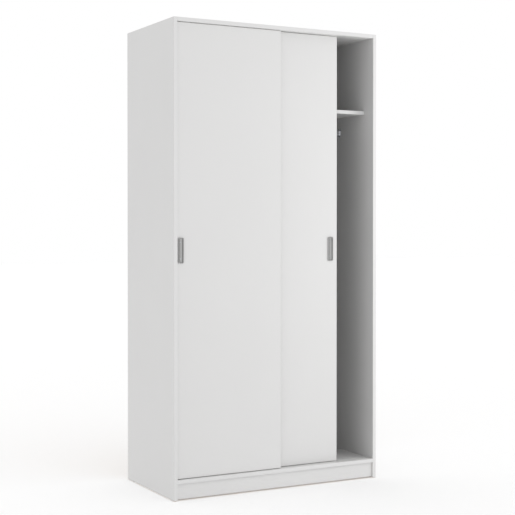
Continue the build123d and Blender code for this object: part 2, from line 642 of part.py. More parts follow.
def pull(label, track_y, handle_x):
    """A metal pull: a rim proud of the door, a cup let into it, and an upright half-round hollow."""
    rim_y = track_y - BOARD / 2 - RIM_PROUD
    rim = Plane(origin=(handle_x, rim_y, HANDLE_Z), x_dir=(1, 0, 0), z_dir=(0, -1, 0))
    with BuildPart() as handle:
        with BuildSketch(rim):
            RectangleRounded(HANDLE_WIDE, HANDLE_TALL, HANDLE_CORNER)
        extrude(amount=-RIM_PROUD)
        fillet(handle.edges().group_by(Axis.Y)[0], RIM_ROUND)
        with BuildSketch(rim.offset(-RIM_PROUD)):
            RectangleRounded(CUP_WIDE, CUP_TALL, CUP_CORNER)
        extrude(amount=-CUP_DEPTH)
        with Locations((handle_x, rim_y, HANDLE_Z)):
            add(dish.part, mode=Mode.SUBTRACT)
        mouth = handle.faces().sort_by(Axis.Y)[0].inner_wires()[0]
        fillet(mouth.edges(), MOUTH_ROUND)
        floor_y = rim_y + DISH_RADIUS
        with Locations(*[Location((handle_x, floor_y, HANDLE_Z + way * HANDLE_SCREW_Z), TO_FRONT)
                         for way in (-1, 1)]):
            Cylinder(FITTING_SCREW_HOLE, 3 * FLANGE_SHEET, mode=Mode.SUBTRACT)
            Cylinder(FITTING_SCREW_SINK, MOUTH_ROUND, align=STANDING, mode=Mode.SUBTRACT)
            Cone(FITTING_SCREW_HOLE, FITTING_SCREW_SINK, SINK_DEPTH, align=HANGING, mode=Mode.SUBTRACT)
    save(handle, label)
    return floor_y


def roller(prefix, end, x, track_y):
    """A roller in the door's lower edge: its housing, its axle and its wheel."""
    with BuildPart() as housing:
        block((x - FLANGE_LENGTH / 2, track_y - FLANGE_WIDTH / 2, DOOR_BOTTOM),
              (x + FLANGE_LENGTH / 2, track_y + FLANGE_WIDTH / 2, DOOR_BOTTOM + FLANGE_SHEET))
        fillet(housing.edges().filter_by(Axis.Z), 3)
        block((x - BODY_LENGTH / 2, track_y - BODY_WIDTH / 2, ROLLER_LUG),
              (x + BODY_LENGTH / 2, track_y + BODY_WIDTH / 2, ROLLER_TOP))
        slot = WHEEL_RADIUS + WHEEL_CLEAR
        half_y = CHANNEL_FREE / 2
        block((x - slot, track_y - half_y, ROLLER_LUG - 1), (x + slot, track_y + half_y, ROLLER_TOP - 2),
              mode=Mode.SUBTRACT)
        with Locations(Location((x, track_y, WHEEL_Z), TO_FRONT)):
            Cylinder(AXLE_SEAT, 2 * BODY_WIDTH, mode=Mode.SUBTRACT)
        with Locations(*[(x + way * FITTING_SCREW_X, track_y, DOOR_BOTTOM) for way in (-1, 1)]):
            Cylinder(FITTING_SCREW_HOLE, 3 * FLANGE_SHEET, mode=Mode.SUBTRACT)
            Cone(FITTING_SCREW_SINK, FITTING_SCREW_HOLE, SINK_DEPTH, align=STANDING, mode=Mode.SUBTRACT)
    save(housing, f"{prefix}_roller_housing_{end}")

    with BuildPart() as axle:
        with Locations(Location((x, track_y, WHEEL_Z), TO_FRONT)):
            Cylinder(AXLE_RADIUS, 2 * AXLE_HALF)
        chamfer(axle.edges().filter_by(GeomType.CIRCLE), 0.2)
    save(axle, f"{prefix}_axle_{end}")

    wheel_plane = Plane(origin=(x, track_y, WHEEL_Z), x_dir=(1, 0, 0), z_dir=(0, -1, 0))
    with BuildPart() as wheel:
        with BuildSketch(wheel_plane.offset(-WHEEL_WIDTH / 2)):
            Circle(WHEEL_RADIUS)
        extrude(amount=WHEEL_WIDTH)
        fillet(wheel.edges().filter_by(GeomType.CIRCLE), 0.8)
        for way in (-1, 1):
            with BuildSketch(wheel_plane.offset(way * WHEEL_WEB / 2)):
                Circle(WHEEL_RADIUS - WHEEL_RIM)
                Circle(WHEEL_HUB, mode=Mode.SUBTRACT)
            extrude(amount=way * WHEEL_WIDTH, mode=Mode.SUBTRACT)
        with BuildSketch(wheel_plane.offset(-WHEEL_WIDTH)):
            Circle(WHEEL_BORE)
            with PolarLocations(WHEEL_HOLE_CIRCLE, WHEEL_HOLES):
                Circle(WHEEL_HOLE_RADIUS)
        extrude(amount=2 * WHEEL_WIDTH, mode=Mode.SUBTRACT)
    save(wheel, f"{prefix}_wheel_{end}")


def guide(prefix, end, x, track_y):
    """A guide in the door's upper edge: its housing and the sprung tongue that slides in it."""
    neck = TONGUE_TOP - TONGUE_HEIGHT + TONGUE_FOOT_HEIGHT
    half_y = TONGUE_WIDTH / 2
    with BuildPart() as housing:
        block((x - FLANGE_LENGTH / 2, track_y - FLANGE_WIDTH / 2, DOOR_TOP - FLANGE_SHEET),
              (x + FLANGE_LENGTH / 2, track_y + FLANGE_WIDTH / 2, DOOR_TOP))
        fillet(housing.edges().filter_by(Axis.Z), 3)
        block((x - BODY_LENGTH / 2, track_y - BODY_WIDTH / 2, GUIDE_BOTTOM),
              (x + BODY_LENGTH / 2, track_y + BODY_WIDTH / 2, DOOR_TOP))
        for half_x, low, high in ((TONGUE_FOOT / 2, GUIDE_FLOOR, neck + TONGUE_CLEAR),
                                  (TONGUE_LENGTH / 2, neck, DOOR_TOP + 1)):
            block((x - half_x - TONGUE_CLEAR, track_y - half_y - TONGUE_CLEAR, low),
                  (x + half_x + TONGUE_CLEAR, track_y + half_y + TONGUE_CLEAR, high), mode=Mode.SUBTRACT)
        with Locations(*[(x + way * FITTING_SCREW_X, track_y, DOOR_TOP) for way in (-1, 1)]):
            Cylinder(FITTING_SCREW_HOLE, 3 * FLANGE_SHEET, mode=Mode.SUBTRACT)
            Cone(FITTING_SCREW_HOLE, FITTING_SCREW_SINK, SINK_DEPTH, align=HANGING, mode=Mode.SUBTRACT)
    save(housing, f"{prefix}_guide_housing_{end}")

    with BuildPart() as tongue:
        block((x - TONGUE_LENGTH / 2, track_y - half_y, neck - 1),
              (x + TONGUE_LENGTH / 2, track_y + half_y, TONGUE_TOP))
        top_edges = tongue.faces().sort_by(Axis.Z)[-1].edges()
        fillet(top_edges, TONGUE_ROUND)
        block((x - TONGUE_FOOT / 2, track_y - half_y, neck - TONGUE_FOOT_HEIGHT),
              (x + TONGUE_FOOT / 2, track_y + half_y, neck))
    save(tongue, f"{prefix}_guide_tongue_{end}")


# ---- door bumpers ----------------------------------------------------------------------------
BUMPER_RADIUS = 4.5
BUMPER_HEIGHT = 1.2
BUMPER_ROUND = 0.7
BUMPER_Z = (300, 1750)

# One bumper: a soft domed disc, its flat side at the origin, facing +Z.
with BuildPart() as bumper:
    Cylinder(BUMPER_RADIUS, BUMPER_HEIGHT, align=STANDING)
    fillet(bumper.edges().group_by(Axis.Z)[-1], BUMPER_ROUND)


def bumpers(label, left, track_y):
    """Four bumpers, two on each upright edge of a door."""
    places = [Location((x, track_y, z), turn)
              for x, turn in ((left, TO_LEFT), (left + DOOR_WIDTH, TO_RIGHT)) for z in BUMPER_Z]
    with BuildPart() as group:
        with Locations(*places):
            add(bumper.part)
    save(group, label)


fitting_screw = screw(1.5, 2.7, 18)
handle_screw = screw(1.5, 2.7, 10)
HANDLE_FROM_EDGE = {"front_door": 16.2, "rear_door": 34.7}
DOORS = {
    "front_door": (FRONT_DOOR_LEFT, FRONT_TRACK_Y, FRONT_DOOR_LEFT + HANDLE_FROM_EDGE["front_door"]),
    "rear_door": (REAR_DOOR_LEFT, REAR_TRACK_Y,
                  REAR_DOOR_LEFT + DOOR_WIDTH - HANDLE_FROM_EDGE["rear_door"]),
}

for door, (left, track_y, handle_x) in DOORS.items():
    door_panel(f"{door}_panel", left, track_y, handle_x)
    bumpers(f"{door}_bumpers", left, track_y)
    dish_floor = pull(f"{door}_handle", track_y, handle_x)
    screws(f"{door}_handle_screws", handle_screw,
           [Location((handle_x, dish_floor, HANDLE_Z + way * HANDLE_SCREW_Z), TO_FRONT) for way in (-1, 1)])
    fitting_places = []
    for end, x in (("left", left + FITTING_INSET), ("right", left + DOOR_WIDTH - FITTING_INSET)):
        roller(door, end, x, track_y)
        guide(door, end, x, track_y)
        for way in (-1, 1):
            screw_x = x + way * FITTING_SCREW_X
            fitting_places.append(Location((screw_x, track_y, DOOR_BOTTOM), DOWN))
            fitting_places.append(Location((screw_x, track_y, DOOR_TOP), UP))
    screws(f"{door}_fitting_screws", fitting_screw, fitting_places)
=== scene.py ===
import bmesh
import bpy
import math
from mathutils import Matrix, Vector


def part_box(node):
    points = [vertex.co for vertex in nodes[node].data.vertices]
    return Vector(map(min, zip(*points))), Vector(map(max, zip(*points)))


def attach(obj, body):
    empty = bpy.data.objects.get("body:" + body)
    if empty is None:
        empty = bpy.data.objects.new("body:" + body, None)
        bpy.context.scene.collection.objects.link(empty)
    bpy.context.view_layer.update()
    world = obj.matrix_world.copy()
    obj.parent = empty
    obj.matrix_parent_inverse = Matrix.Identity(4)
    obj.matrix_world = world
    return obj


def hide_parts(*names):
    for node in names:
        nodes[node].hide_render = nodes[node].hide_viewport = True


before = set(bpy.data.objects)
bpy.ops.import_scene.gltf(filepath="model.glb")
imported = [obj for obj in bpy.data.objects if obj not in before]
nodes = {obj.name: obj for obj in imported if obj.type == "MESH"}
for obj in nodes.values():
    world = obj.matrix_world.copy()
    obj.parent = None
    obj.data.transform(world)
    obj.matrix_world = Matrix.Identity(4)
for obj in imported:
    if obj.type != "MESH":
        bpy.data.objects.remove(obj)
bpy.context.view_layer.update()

bpy.ops.object.select_all(action="DESELECT")

# ---- plinth ---------------------------------------------------------------------------------
# Two upright boards and a brace between them carry the bottom panel, clear of the floor.
# They are chipboard with white melamine paper pressed on both faces, sawn to size, and their
# narrow edges stay raw because they face the floor and the panel above.
MELAMINE_LOW = (0.694, 0.691, 0.688)
MELAMINE_HIGH = (0.710, 0.707, 0.704)
CHIP_DARK = (0.26, 0.18, 0.115)
CHIP_BROWN = (0.46, 0.32, 0.19)
CHIP_LIGHT = (0.62, 0.50, 0.36)
CHIP_TAN = (0.56, 0.41, 0.25)
CHIP_PER_METRE = (420, 420, 420)
SAWN_ARRIS = 0.00012
SMOOTH_ANGLE = math.radians(40)
CAM_FROM_END = 0.024
CAM_POCKET_RADIUS = 0.0076
CAM_POCKET_DEPTH = 0.013
PLINTH_CAM_Z = 0.046


def new_finish(name, colour, roughness, metallic=0.0):
    """A finish of one colour and one gloss, ready for its grain."""
    finish = bpy.data.materials.new(name)
    finish.use_nodes = True
    shader = finish.node_tree.nodes["Principled BSDF"]
    shader.inputs["Base Color"].default_value = (*colour, 1)
    shader.inputs["Roughness"].default_value = roughness
    shader.inputs["Metallic"].default_value = metallic
    return finish


def pattern(finish, kind, per_metre, output, **settings):
    """A noise or cell pattern on the piece's own place, per_metre repeats along X, Y and Z."""
    tree = finish.node_tree
    where = tree.nodes.new("ShaderNodeTexCoord")
    spread = tree.nodes.new("ShaderNodeMapping")
    spread.inputs["Scale"].default_value = per_metre
    texture = tree.nodes.new(kind)
    texture.inputs["Scale"].default_value = 1
    for socket, value in settings.items():
        texture.inputs[socket].default_value = value
    tree.links.new(where.outputs["Object"], spread.inputs["Vector"])
    tree.links.new(spread.outputs["Vector"], texture.inputs["Vector"])
    return texture.outputs[output]


def clouds(finish, per_metre, detail=3):
    """Soft noise, from 0 to 1."""
    return pattern(finish, "ShaderNodeTexNoise", per_metre, "Fac", Detail=detail)


def cells(finish, per_metre):
    """A random shade for each cell of a mosaic."""
    return pattern(finish, "ShaderNodeTexVoronoi", per_metre, "Color")


def tint(finish, source, *shades, low=0.32, high=0.68):
    """Colour the finish by a pattern, from the first shade to the last."""
    tree = finish.node_tree
    ramp = tree.nodes.new("ShaderNodeValToRGB")
    stops = ramp.color_ramp.elements
    while len(stops) < len(shades):
        stops.new(0.5)
    for i, shade in enumerate(shades):
        stops[i].position = low + (high - low) * i / (len(shades) - 1)
        stops[i].color = (*shade, 1)
    tree.links.new(source, ramp.inputs["Fac"])
    tree.links.new(ramp.outputs["Color"], tree.nodes["Principled BSDF"].inputs["Base Color"])


def dull(finish, source, low, high):
    """Vary the roughness by a pattern."""
    tree = finish.node_tree
    span = tree.nodes.new("ShaderNodeMapRange")
    span.inputs["From Min"].default_value = 0.3
    span.inputs["From Max"].default_value = 0.7
    span.inputs["To Min"].default_value = low
    span.inputs["To Max"].default_value = high
    tree.links.new(source, span.inputs["Value"])
    tree.links.new(span.outputs["Result"], tree.nodes["Principled BSDF"].inputs["Roughness"])


def emboss(finish, source, depth):
    """Raise and sink the surface by a pattern, on top of any relief that it has already."""
    tree = finish.node_tree
    normal = tree.nodes["Principled BSDF"].inputs["Normal"]
    relief = tree.nodes.new("ShaderNodeBump")
    relief.inputs["Strength"].default_value = 1
    relief.inputs["Distance"].default_value = depth
    tree.links.new(source, relief.inputs["Height"])
    if normal.is_linked:
        tree.links.new(normal.links[0].from_socket, relief.inputs["Normal"])
    tree.links.new(relief.outputs["Normal"], normal)


melamine = new_finish("white_melamine", MELAMINE_HIGH, 0.42)
tint(melamine, clouds(melamine, (1.4, 1.4, 1.1)), MELAMINE_LOW, MELAMINE_HIGH)
dull(melamine, clouds(melamine, (7, 7, 5)), 0.37, 0.46)
emboss(melamine, clouds(melamine, (90, 90, 90), detail=1), 0.00003)
emboss(melamine, clouds(melamine, (1100, 1100, 1100), detail=2), 0.00002)

chipboard = new_finish("raw_chipboard", CHIP_LIGHT, 0.86)
tint(chipboard, cells(chipboard, CHIP_PER_METRE), CHIP_DARK, CHIP_BROWN, CHIP_LIGHT, CHIP_TAN,
     low=0.1, high=0.9)
emboss(chipboard, cells(chipboard, CHIP_PER_METRE), 0.00035)
emboss(chipboard, clouds(chipboard, (160, 160, 160)), 0.0003)


def blank(name, low, high):
    """A square piece between two opposite corners, with its place in its mesh."""
    low, high = Vector(low), Vector(high)
    bpy.ops.object.select_all(action="DESELECT")
    bpy.ops.mesh.primitive_cube_add(size=1, location=(low + high) / 2)
    piece = bpy.context.object
    piece.name = name
    piece.data.name = name
    piece.scale = high - low
    bpy.ops.object.transform_apply(location=True, rotation=True, scale=True)
    return piece


def take_up(piece):
    """Make a piece the only one selected, and the active one."""
    bpy.ops.object.select_all(action="DESELECT")
    bpy.context.view_layer.objects.active = piece
    piece.select_set(True)


def round_over(piece, radius, wanted, segments):
    """Round the edges whose two ends are both wanted; one segment makes a chamfer."""
    take_up(piece)
    bpy.ops.object.mode_set(mode="EDIT")
    bpy.ops.mesh.select_mode(type="EDGE")
    mesh = bmesh.from_edit_mesh(piece.data)
    for edge in mesh.edges:
        edge.select = all(wanted(end.co) for end in edge.verts)
    mesh.select_flush_mode()
    bmesh.update_edit_mesh(piece.data)
    bpy.ops.mesh.bevel(offset=radius, segments=segments, affect="EDGES")
    bpy.ops.object.mode_set(mode="OBJECT")


def drill(place, turn, radius, depth):
    """A round cutter that goes depth into a board from a place on its face, as turned."""
    bpy.ops.object.select_all(action="DESELECT")
    bpy.ops.mesh.primitive_cylinder_add(vertices=40, radius=radius, depth=2 * depth, location=place,
                                        rotation=[math.radians(angle) for angle in turn])
    bpy.ops.object.transform_apply(location=True, rotation=True, scale=True)
    return bpy.context.object


def cut(pieces, cutters, inside):
    """Take the cutters' shapes out of each piece; the walls they leave get the inside finish."""
    for cutter in cutters:
        cutter.data.materials.append(inside)
        for piece in pieces:
            take_up(piece)
            tool = piece.modifiers.new("cut", "BOOLEAN")
            tool.solver = "EXACT"
            tool.material_mode = "TRANSFER"
            tool.object = cutter
            bpy.ops.object.modifier_apply(modifier=tool.name)
        bpy.data.objects.remove(cutter)


def true_up(piece):
    """Shade the rounded edges smooth and keep the flats flat."""
    take_up(piece)
    bpy.ops.object.shade_smooth_by_angle(angle=SMOOTH_ANGLE)
    flats = piece.modifiers.new("flats", "WEIGHTED_NORMAL")
    flats.keep_sharp = True
    bpy.ops.object.modifier_apply(modifier=flats.name)


def core(name, low, high, face_finish, edge_finish):
    """A board sawn to size: one finish on its two large faces and another on its edges."""
    piece = blank(name, low, high)
    round_over(piece, SAWN_ARRIS, lambda corner: True, segments=1)
    size = high - low
    thin = min(range(3), key=lambda axis: size[axis])
    piece.data.materials.append(face_finish)
    piece.data.materials.append(edge_finish)
    for face in piece.data.polygons:
        face.material_index = 0 if abs(face.normal[thin]) > 0.99 else 1
    return piece


def plinth_board(node, name, cutters):
    """A plinth board in place of its CAD node."""
    piece = core(name, *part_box(node), melamine, chipboard)
    cut([piece], cutters, chipboard)
    true_up(piece)
    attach(piece, "carcass")
    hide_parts(node)


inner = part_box("plinth_front")[1].x
cam_x = inner - CAM_FROM_END
brace_low, brace_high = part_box("plinth_brace")
for node, brace_end in (("plinth_front", brace_low.y), ("plinth_rear", brace_high.y)):
    pockets = [drill((side * cam_x, brace_end, PLINTH_CAM_Z), (90, 0, 0), CAM_POCKET_RADIUS,
                     CAM_POCKET_DEPTH) for side in (-1, 1)]
    plinth_board(node, f"{node}_board", pockets)
plinth_board("plinth_brace", "plinth_brace_board", [])

# ---- side panels ----------------------------------------------------------------------------
# Two tall faced boards stand on the floor and carry everything else. A strip of white ABS is
# glued along the front and the top edge and its arrises are rounded by the edge bander. A
# rebate down the rear edge takes the hardboard back, and there the chipboard shows.
EDGING = 0.001
EDGING_ROUND = 0.0007
EDGING_LOW = (0.700, 0.698, 0.696)
EDGING_HIGH = (0.718, 0.716, 0.714)
REBATE = 0.008
SPARE = 0.001
WIDE, DEEP, TALL = range(3)

# Edging is extruded, so its faint lines run along the strip, whichever way it lies.
edging = []
for length_axis in (WIDE, DEEP, TALL):
    strip_finish = new_finish("white_edging_" + "xyz"[length_axis], EDGING_HIGH, 0.33)
    lines = [1500, 1500, 1500]
    lines[length_axis] = 12
    tint(strip_finish, clouds(strip_finish, (2, 2, 2)), EDGING_LOW, EDGING_HIGH)
    dull(strip_finish, clouds(strip_finish, lines), 0.30, 0.38)
    emboss(strip_finish, clouds(strip_finish, lines), 0.000008)
    edging.append(strip_finish)


def faced_board(node, name, body, banded, cutters):
    """A core and its edging strips in place of a CAD node. Each banded edge is an axis and an
    end of it: (DEEP, -1) is the front edge. A strip runs between those that are listed before."""
    low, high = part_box(node)
    core_low, core_high = low.copy(), high.copy()
    pieces = []
    for axis, end in banded:
        strip_low, strip_high = core_low.copy(), core_high.copy()
        outside = (low, None, high)[end + 1][axis]
        if end < 0:
            strip_high[axis] = core_low[axis] = outside + EDGING
        else:
            strip_low[axis] = core_high[axis] = outside - EDGING
        edge_name = {(WIDE, -1): "left", (WIDE, 1): "right", (DEEP, -1): "front",
                     (TALL, -1): "lower", (TALL, 1): "upper"}[axis, end]
        strip = blank(f"{name}_{edge_name}_edging", strip_low, strip_high)
        round_over(strip, EDGING_ROUND, lambda corner: abs(corner[axis] - outside) < 1e-6, segments=4)
        size = strip_high - strip_low
        strip.data.materials.append(edging[max(range(3), key=lambda way: size[way])])
        pieces.append(strip)
    board = core(name, core_low, core_high, melamine, chipboard)
    cut([board, *pieces], cutters, chipboard)
    for piece in (board, *pieces):
        true_up(piece)
        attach(piece, body)
    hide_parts(node)


sheet_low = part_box("back_sheet_left")[0]
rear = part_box("side_panel_right")[1].y
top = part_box("side_panel_right")[1].z
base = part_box("bottom_panel")[0].z
for side, hand in ((-1, "left"), (1, "right")):
    near, far = sorted((side * (inner - SPARE), side * (inner + REBATE)))
    rebate = blank("rebate", (near, sheet_low.y, base), (far, rear + SPARE, top + SPARE))
    faced_board(f"side_panel_{hand}", f"side_board_{hand}", "carcass", [(DEEP, -1), (TALL, 1)], [rebate])

# ---- bottom, shelf and top ------------------------------------------------------------------
# Three faced boards lie between the side panels, edged along the front. Grooves in the bottom
# and the top take the channels of the double track, and the cam locks sit in round pockets
# bored into each underside.
GROOVE_HALF = 0.0038
GROOVE_DEPTH = 0.0084
NOTCH_HALF = 0.0077
NOTCH_DEPTH = 0.0013
front_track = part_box("front_door_panel")
rear_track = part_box("rear_door_panel")
track_lines = [(low.y + high.y) / 2 for low, high in (front_track, rear_track)]
CAM_ROWS = {"bottom_panel": (-0.150, 0.150), "shelf": (-0.120, 0.190), "top_panel": (-0.150, 0.150)}


def cam_pockets(node):
    """Cutters for the four pockets in a board's underside."""
    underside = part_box(node)[0].z
    return [drill((side * cam_x, y, underside), (0, 0, 0), CAM_POCKET_RADIUS, CAM_POCKET_DEPTH)
            for side in (-1, 1) for y in CAM_ROWS[node]]


def grooves(face, into):
    """Cutters for the two track grooves, from a face of a board into it: +1 up or -1 down."""
    below, above = sorted((face - into * SPARE, face + into * GROOVE_DEPTH))
    return [blank("groove", (-1, y - GROOVE_HALF, below), (1, y + GROOVE_HALF, above)) for y in track_lines]


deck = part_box("bottom_panel")[1].z
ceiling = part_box("top_panel")[0].z
shelf_low, shelf_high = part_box("shelf")
notch = blank("notch", (-NOTCH_HALF, shelf_high.y - NOTCH_DEPTH, shelf_low.z - SPARE),
              (NOTCH_HALF, shelf_high.y + SPARE, shelf_high.z + SPARE))
cutters = {"bottom_panel": grooves(deck, -1), "shelf": [notch], "top_panel": grooves(ceiling, 1)}
for node, name in (("bottom_panel", "bottom_board"), ("shelf", "shelf_board"),
                   ("top_panel", "top_board")):
    faced_board(node, name, "carcass", [(DEEP, -1)], cam_pockets(node) + cutters[node])

# ---- double track ---------------------------------------------------------------------------
# Two white PVC profiles, extruded in one length with two channels each, are pressed into the
# grooves and held by small countersunk screws. Faint die lines run along them.
PVC_LOW = (0.70, 0.70, 0.69)
PVC_HIGH = (0.73, 0.73, 0.72)


def extruded(name, lines):
    """White PVC with die lines along the profile."""
    finish = new_finish(name, PVC_HIGH, 0.36)
    tint(finish, clouds(finish, (3, 3, 3)), PVC_LOW, PVC_HIGH)
    dull(finish, clouds(finish, lines), 0.30, 0.42)
    emboss(finish, clouds(finish, lines), 0.000012)
    return finish


def dress(finish, *names):
    """Give CAD nodes their finish."""
    for name in names:
        nodes[name].data.materials.clear()
        nodes[name].data.materials.append(finish)


dress(extruded("track_pvc", (8, 1200, 1200)), "bottom_track", "top_track")

# ---- knock-down fittings --------------------------------------------------------------------
# Zinc-cast cams grip steel bolts, with beech dowels beside them to keep the boards in line.
# White moulded caps are pressed over the cams that can be seen from below.
ZINC_DARK = (0.34, 0.345, 0.35)
ZINC_LIGHT = (0.47, 0.475, 0.48)
STEEL_DARK = (0.47, 0.49, 0.52)
STEEL_LIGHT = (0.63, 0.65, 0.67)
BEECH_DARK = (0.47, 0.31, 0.17)
BEECH_LIGHT = (0.66, 0.49, 0.31)

cast_zinc = new_finish("cast_zinc", ZINC_LIGHT, 0.5, metallic=1)
tint(cast_zinc, clouds(cast_zinc, (300, 300, 300)), ZINC_DARK, ZINC_LIGHT)
dull(cast_zinc, clouds(cast_zinc, (180, 180, 180)), 0.42, 0.6)
emboss(cast_zinc, clouds(cast_zinc, (900, 900, 900)), 0.00006)
dress(cast_zinc, "cam_locks")

plated_steel = new_finish("plated_steel", STEEL_LIGHT, 0.33, metallic=1)
tint(plated_steel, cells(plated_steel, (260, 260, 260)), STEEL_DARK, STEEL_LIGHT, low=0.2, high=0.8)
dull(plated_steel, clouds(plated_steel, (220, 220, 220)), 0.26, 0.42)
emboss(plated_steel, clouds(plated_steel, (700, 700, 700)), 0.00001)
dress(plated_steel, "cam_bolts")

beech = new_finish("beech_dowel", BEECH_LIGHT, 0.7)
tint(beech, clouds(beech, (40, 900, 900), detail=5), BEECH_DARK, BEECH_LIGHT)
emboss(beech, clouds(beech, (60, 1400, 1400)), 0.00008)
dress(beech, "wood_dowels")


def moulded(name, low, high, roughness):
    """Moulded plastic with the fine spark-eroded grain of its tool."""
    finish = new_finish(name, high, roughness)
    tint(finish, clouds(finish, (60, 60, 60)), low, high)
    dull(finish, clouds(finish, (150, 150, 150)), roughness - 0.05, roughness + 0.06)
    emboss(finish, clouds(finish, (2200, 2200, 2200), detail=1), 0.00002)
    return finish


dress(moulded("white_moulding", PVC_LOW, PVC_HIGH, 0.42), "cam_cover_caps")

# ---- back -----------------------------------------------------------------------------------
# Two thin hardboard sheets lie in the rebates and stiffen the cupboard. The side that faces in
# is lacquered white and the rear is bare brown fibre. A white PVC strip joins them in the
# middle, and small flat-headed nails hold them round the edge and to the shelf.
FIBRE_DARK = (0.25, 0.16, 0.093)
FIBRE_MIDDLE = (0.30, 0.195, 0.115)
FIBRE_LIGHT = (0.345, 0.228, 0.136)
LACQUER_LOW = (0.69, 0.69, 0.68)
LACQUER_HIGH = (0.71, 0.71, 0.70)
WALL_HOLE_RADIUS = 0.005
WALL_HOLE_DEPTH = 0.01
WALL_HOLE_Z = 1.955

lacquer = new_finish("white_lacquer", MELAMINE_LOW, 0.4)
tint(lacquer, clouds(lacquer, (2, 2, 2)), LACQUER_LOW, LACQUER_HIGH)
dull(lacquer, clouds(lacquer, (12, 12, 12)), 0.36, 0.48)
emboss(lacquer, clouds(lacquer, (500, 500, 500)), 0.00003)

fibre = new_finish("bare_hardboard", FIBRE_LIGHT, 0.72)
tint(fibre, clouds(fibre, (260, 260, 420), detail=5), FIBRE_DARK, FIBRE_MIDDLE, FIBRE_LIGHT)
dull(fibre, clouds(fibre, (30, 30, 30)), 0.62, 0.8)
emboss(fibre, clouds(fibre, (900, 900, 260), detail=5), 0.00012)

for side, hand in ((-1, "left"), (1, "right")):
    bracket_low, bracket_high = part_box(f"wall_bracket_{hand}")
    hole_x = (bracket_low.x + bracket_high.x) / 2
    hole = drill((hole_x, sheet_low.y, WALL_HOLE_Z), (90, 0, 0), WALL_HOLE_RADIUS, WALL_HOLE_DEPTH)
    sheet = core(f"hardboard_{hand}", *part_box(f"back_sheet_{hand}"), lacquer, fibre)
    for face in sheet.data.polygons:
        if face.normal.y > 0.99:
            face.material_index = 1
    cut([sheet], [hole], fibre)
    true_up(sheet)
    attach(sheet, "carcass")
    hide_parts(f"back_sheet_{hand}")
dress(extruded("strip_pvc", (1200, 1200, 8)), "back_joint_strip")
dress(plated_steel, "back_nails")

# ---- floor glides ---------------------------------------------------------------------------
# Grey moulded glides are nailed into the lower edges of the side panels and keep the chipboard
# off the floor.
GREY_LOW = (0.115, 0.12, 0.125)
GREY_HIGH = (0.15, 0.155, 0.16)
dress(moulded("grey_moulding", GREY_LOW, GREY_HIGH, 0.45), "floor_glides")

# ---- clothes rail ---------------------------------------------------------------------------
# An oval steel tube, chromed, slides into two chromed zinc sockets. Each socket is screwed to
# its side panel through two countersunk holes in the flange.
CHROME_LOW = (0.74, 0.75, 0.77)
CHROME_HIGH = (0.82, 0.83, 0.85)

chrome = new_finish("chrome_tube", CHROME_HIGH, 0.12, metallic=1)
tint(chrome, clouds(chrome, (6, 60, 60)), CHROME_LOW, CHROME_HIGH)
dull(chrome, clouds(chrome, (5, 700, 700)), 0.08, 0.17)
emboss(chrome, clouds(chrome, (4, 500, 500)), 0.000004)
dress(chrome, "clothes_rail")

cast_chrome = new_finish("chrome_socket", CHROME_HIGH, 0.2, metallic=1)
tint(cast_chrome, clouds(cast_chrome, (80, 80, 80)), CHROME_LOW, CHROME_HIGH)
dull(cast_chrome, clouds(cast_chrome, (120, 120, 120)), 0.14, 0.26)
emboss(cast_chrome, clouds(cast_chrome, (160, 160, 160)), 0.00002)
dress(cast_chrome, "rail_bracket_left", "rail_bracket_right")
dress(plated_steel, "rail_bracket_screws", "track_screws")

# ---- wall brackets --------------------------------------------------------------------------
# Two bent steel angles under the top board take the screws into the wall that keep the
# wardrobe from tipping. They are zinc plated, with a spangle and a dull bend.
dress(plated_steel, "wall_bracket_left", "wall_bracket_right", "wall_bracket_screws")

# ---- doors ----------------------------------------------------------------------------------
# Each door is one faced board, edged on all four sides. Mortises in its lower edge take two
# rollers, mortises in its upper edge take two sprung guides, and a pocket in its face takes
# the pull.
FIT = 0.0001
FLANGE_SHEET = 0.002
FITTING_HALF_LENGTH = 0.019
FITTING_HALF_WIDTH = 0.0045
POCKET_RIM_X = 0.0024
POCKET_RIM_Z = 0.0019
POCKET_DEPTH = 0.0041


def mortise(fitting, door_low, door_high):
    """Cutters for a fitting let into a door's edge: one for its flange and one for its body."""
    low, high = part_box(fitting)
    x, y = (low.x + high.x) / 2, (low.y + high.y) / 2
    if low.z < (door_low.z + door_high.z) / 2:
        flange = (door_low.z - SPARE, door_low.z + FLANGE_SHEET)
        body = (door_low.z - SPARE, high.z + FIT)
    else:
        flange = (door_high.z - FLANGE_SHEET, door_high.z + SPARE)
        body = (low.z - FIT, door_high.z + SPARE)
    half_x, half_y = FITTING_HALF_LENGTH + FIT, FITTING_HALF_WIDTH + FIT
    return [blank("flange_mortise", (low.x - FIT, low.y - FIT, flange[0]),
                  (high.x + FIT, high.y + FIT, flange[1])),
            blank("body_mortise", (x - half_x, y - half_y, body[0]),
                  (x + half_x, y + half_y, body[1]))]


ALL_ROUND = [(WIDE, -1), (WIDE, 1), (TALL, -1), (TALL, 1)]
for door in ("front_door", "rear_door"):
    door_low, door_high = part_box(f"{door}_panel")
    pull_low, pull_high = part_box(f"{door}_handle")
    cutters = [blank("pocket", (pull_low.x + POCKET_RIM_X, door_low.y - SPARE, pull_low.z + POCKET_RIM_Z),
                     (pull_high.x - POCKET_RIM_X, door_low.y + POCKET_DEPTH, pull_high.z - POCKET_RIM_Z))]
    for end in ("left", "right"):
        cutters += mortise(f"{door}_roller_housing_{end}", door_low, door_high)
        cutters += mortise(f"{door}_guide_housing_{end}", door_low, door_high)
    faced_board(f"{door}_panel", f"{door}_board", door, ALL_ROUND, cutters)

# ---- door bumpers ---------------------------------------------------------------------------
# Small domes of clear rubber are stuck to the upright edges of the doors, so that a door meets
# the side panel without a knock.
RUBBER_LOW = (0.80, 0.81, 0.80)
RUBBER_HIGH = (0.88, 0.89, 0.88)

